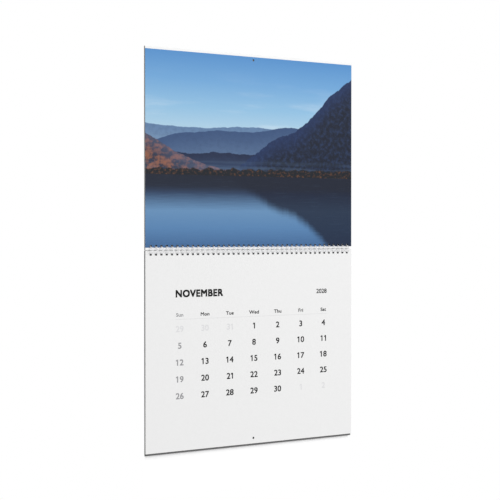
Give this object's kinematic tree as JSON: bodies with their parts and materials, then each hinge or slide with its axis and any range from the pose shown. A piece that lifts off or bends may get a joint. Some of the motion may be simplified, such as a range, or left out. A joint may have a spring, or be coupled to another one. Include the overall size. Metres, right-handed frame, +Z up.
{
  "type": "wall calendar",
  "caption": "Wire-bound wall calendar hung open: a picture leaf above a twin-loop binding and a month page below it, with hanging holes and a back board.",
  "frame": {"origin": "centre of the upper hanging hole, at mid-thickness of the upper half", "axes": "+X to the right along the binding, +Y out of the rear face towards the wall, +Z up"},
  "size_m": [0.3556, 0.0107, 0.5624],
  "materials": {
    "printed_leaves": "semi-gloss coated print",
    "month_leaves": "matt white paper",
    "cover_card": "coated card",
    "grey_board": "uncoated greyboard",
    "coated_wire": "white nylon coating"
  },
  "bodies": {
    "upper_half": {"upper_leaves": "printed_leaves", "front_cover": "cover_card", "binding_wire": "coated_wire"},
    "lower_half": {"lower_leaves": "month_leaves", "back_board": "grey_board"}
  },
  "joints": [
    {"name": "lower_half_fold", "type": "hinge", "parent": "upper_half", "child": "lower_half", "pos_m": [0, -0.00175, -0.2718], "axis": [-1, 0, 0], "range_deg": [0, 180]}
  ]
}
